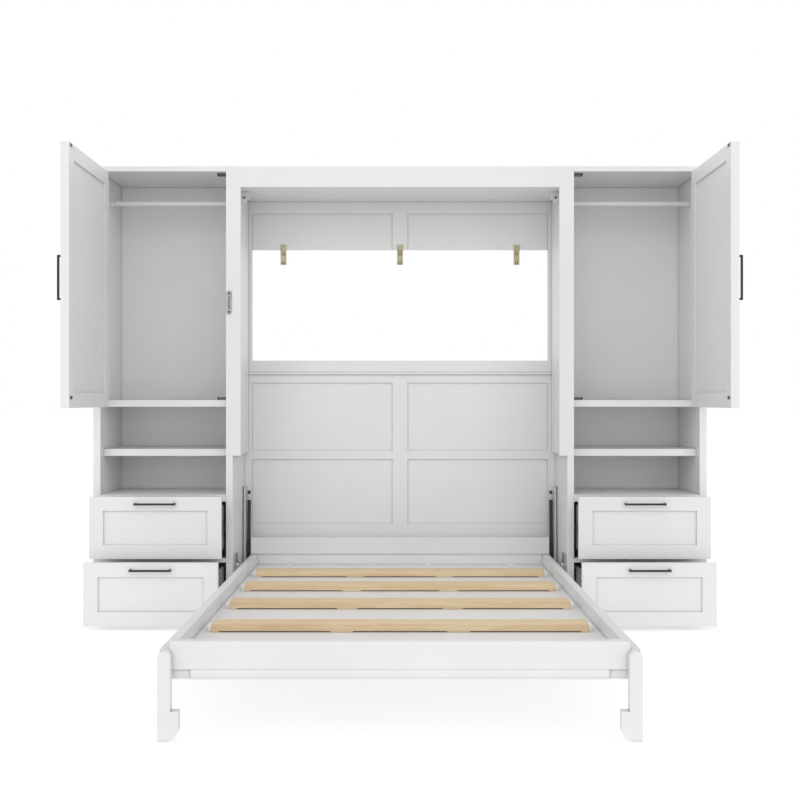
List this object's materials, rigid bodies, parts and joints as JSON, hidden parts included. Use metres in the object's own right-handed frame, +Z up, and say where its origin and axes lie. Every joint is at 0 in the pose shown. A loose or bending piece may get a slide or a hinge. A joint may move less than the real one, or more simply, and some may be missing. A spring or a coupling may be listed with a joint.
{
  "type": "wall bed with wardrobe towers",
  "caption": "White wall bed that folds down from a cabinet between two wardrobe towers with framed doors and drawers, shown open.",
  "frame": {"origin": "middle of the floor rectangle that the lowered bed and the cabinets cover", "axes": "+X to the right seen from the bed's foot, +Y towards the wall, +Z up"},
  "size_m": [3.098, 2.237, 2.304],
  "materials": {
    "white_board": "satin white paint",
    "drawer_board": "grey-brown melamine",
    "pine": "bare planed pine",
    "black_metal": "satin black",
    "steel": "zinc plated",
    "yellow_zinc": "yellow zinc plated",
    "white_metal": "white powder coat",
    "chrome": "polished",
    "white_plastic": "matte"
  },
  "bodies": {
    "cabinet": {"lower_partitions": "white_board", "upper_partitions": "white_board", "front_stiles": "white_board", "header": "white_board", "cabinet_top": "white_board", "back_panels": "white_board", "back_frame": "white_board", "window_rail": "white_board", "stop_blocks": "white_board", "wall_brackets": "yellow_zinc", "lock_plate": "steel", "pivot_bearings": "steel", "spring_plates": "steel", "tower_sides": "white_board", "tower_tops": "white_board", "tower_backs": "white_board", "tower_shelves": "white_board", "drawer_case_boards": "white_board", "hanging_rods": "white_metal", "door_catches": "black_metal", "cabinet_slides": "black_metal", "hinge_plates": "steel"},
    "bed": {"bed_face_panel": "white_board", "bed_face_strips": "white_board", "bed_deck": "white_board", "bed_side_rails": "white_board", "foot_board": "white_board", "head_board": "white_board", "slats": "pine", "slat_clips": "white_plastic", "bed_pins": "steel", "leg_pins": "steel"},
    "left_leg": {"left_leg": "white_board"},
    "left_spring_rod": {"left_spring_rod": "chrome"},
    "left_spring_cylinder": {"left_spring_cylinder": "black_metal"},
    "left_door": {"left_door": "white_board", "left_door_handle": "black_metal", "left_door_fittings": "steel"},
    "left_lower_drawer": {"left_lower_drawer_front": "white_board", "left_lower_drawer_box": "drawer_board", "left_lower_drawer_handle": "black_metal", "left_lower_drawer_runners": "black_metal"},
    "left_upper_drawer": {"left_upper_drawer_front": "white_board", "left_upper_drawer_box": "drawer_board", "left_upper_drawer_handle": "black_metal", "left_upper_drawer_runners": "black_metal"},
    "right_leg": {"right_leg": "white_board"},
    "right_spring_rod": {"right_spring_rod": "chrome"},
    "right_spring_cylinder": {"right_spring_cylinder": "black_metal"},
    "right_door": {"right_door": "white_board", "right_door_handle": "black_metal", "right_door_fittings": "steel"},
    "right_lower_drawer": {"right_lower_drawer_front": "white_board", "right_lower_drawer_box": "drawer_board", "right_lower_drawer_handle": "black_metal", "right_lower_drawer_runners": "black_metal"},
    "right_upper_drawer": {"right_upper_drawer_front": "white_board", "right_upper_drawer_box": "drawer_board", "right_upper_drawer_handle": "black_metal", "right_upper_drawer_runners": "black_metal"}
  },
  "joints": [
    {"name": "bed_pivot", "type": "hinge", "parent": "cabinet", "child": "bed", "pos_m": [0, 0.799, 0.2755], "axis": [-1, 0, 0], "range_deg": [0, 90]},
    {"name": "left_leg_fold", "type": "hinge", "parent": "bed", "child": "left_leg", "pos_m": [-0.777, -1.1015, 0.276], "axis": [0, -1, 0], "range_deg": [0, 90]},
    {"name": "left_spring_tilt", "type": "hinge", "parent": "cabinet", "child": "left_spring_rod", "pos_m": [-0.812, 1.0685, 0.627], "axis": [-1, 0, 0], "range_deg": [0, 22.6]},
    {"name": "left_spring_stroke", "type": "slide", "parent": "left_spring_rod", "child": "left_spring_cylinder", "axis": [0, -0.0662, -0.9978], "range_m": [0, 0.2875]},
    {"name": "left_door_hinge", "type": "hinge", "parent": "cabinet", "child": "left_door", "pos_m": [-1.512, 0.7132, 1.68], "axis": [0, 0, -1], "range_deg": [-90, 20]},
    {"name": "left_lower_drawer_slide", "type": "slide", "parent": "cabinet", "child": "left_lower_drawer", "axis": [0, -1, 0], "range_m": [-0.166, 0.155]},
    {"name": "left_upper_drawer_slide", "type": "slide", "parent": "cabinet", "child": "left_upper_drawer", "axis": [0, -1, 0], "range_m": [-0.071, 0.25]},
    {"name": "right_leg_fold", "type": "hinge", "parent": "bed", "child": "right_leg", "pos_m": [0.777, -1.1015, 0.276], "axis": [0, 1, 0], "range_deg": [0, 90]},
    {"name": "right_spring_tilt", "type": "hinge", "parent": "cabinet", "child": "right_spring_rod", "pos_m": [0.812, 1.0685, 0.627], "axis": [-1, 0, 0], "range_deg": [0, 22.6]},
    {"name": "right_spring_stroke", "type": "slide", "parent": "right_spring_rod", "child": "right_spring_cylinder", "axis": [0, -0.0662, -0.9978], "range_m": [0, 0.2875]},
    {"name": "right_door_hinge", "type": "hinge", "parent": "cabinet", "child": "right_door", "pos_m": [1.512, 0.7132, 1.68], "axis": [0, 0, 1], "range_deg": [-90, 20]},
    {"name": "right_lower_drawer_slide", "type": "slide", "parent": "cabinet", "child": "right_lower_drawer", "axis": [0, -1, 0], "range_m": [-0.166, 0.155]},
    {"name": "right_upper_drawer_slide", "type": "slide", "parent": "cabinet", "child": "right_upper_drawer", "axis": [0, -1, 0], "range_m": [-0.071, 0.25]}
  ],
  "couplings": [
    {"joint": "left_spring_tilt", "follows": "bed_pivot", "ratio": 0.25044},
    {"joint": "left_spring_stroke", "follows": "bed_pivot", "m_per_rad": 0.18283},
    {"joint": "right_spring_tilt", "follows": "bed_pivot", "ratio": 0.25044},
    {"joint": "right_spring_stroke", "follows": "bed_pivot", "m_per_rad": 0.18283}
  ]
}
